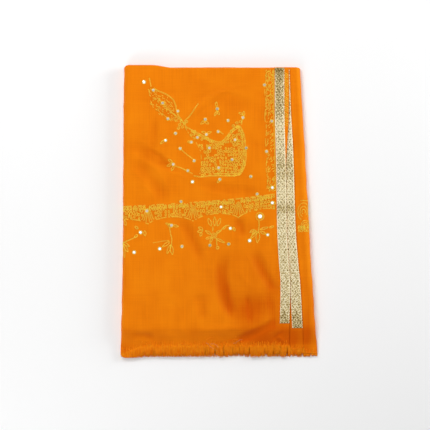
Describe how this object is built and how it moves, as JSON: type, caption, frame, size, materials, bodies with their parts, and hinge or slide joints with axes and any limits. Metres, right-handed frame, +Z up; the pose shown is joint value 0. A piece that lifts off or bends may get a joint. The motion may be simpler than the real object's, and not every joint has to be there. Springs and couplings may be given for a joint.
{
  "type": "folded shawl",
  "caption": "Long saffron shawl with gold tapes and frayed ends, folded small and lying flat.",
  "frame": {"origin": "middle of the folded bundle's outline, on the surface it lies on", "axes": "+X across the bundle towards the taped edges, +Y along it towards the top fold, +Z up"},
  "size_m": [0.3398, 0.5056, 0.0187],
  "materials": {
    "front_cloth": "fine plain weave, soft satin sheen",
    "right_cloth": "fine plain weave, soft satin sheen",
    "second_cloth": "fine plain weave, soft satin sheen",
    "hidden_cloth": "saffron cloth in shade",
    "outer_gold": "woven metallic gold tape with a fine diamond figure",
    "inner_gold": "woven metallic gold tape with a fine diamond figure",
    "front_thread": "frayed saffron threads",
    "second_thread": "frayed saffron threads",
    "right_thread": "frayed saffron threads",
    "floor_thread": "frayed saffron threads",
    "embroidery": "gold thread in chain stitch",
    "mirror": "small round mirrors"
  },
  "bodies": {
    "root": {"front_third": "front_cloth", "right_fold": "right_cloth", "second_ply": "second_cloth", "hidden_layers": "hidden_cloth", "outer_tape": "outer_gold", "inner_tape": "inner_gold", "front_fringe": "front_thread", "second_fringe": "second_thread", "right_fringe": "right_thread", "floor_fringe": "floor_thread"}
  },
  "joints": []
}
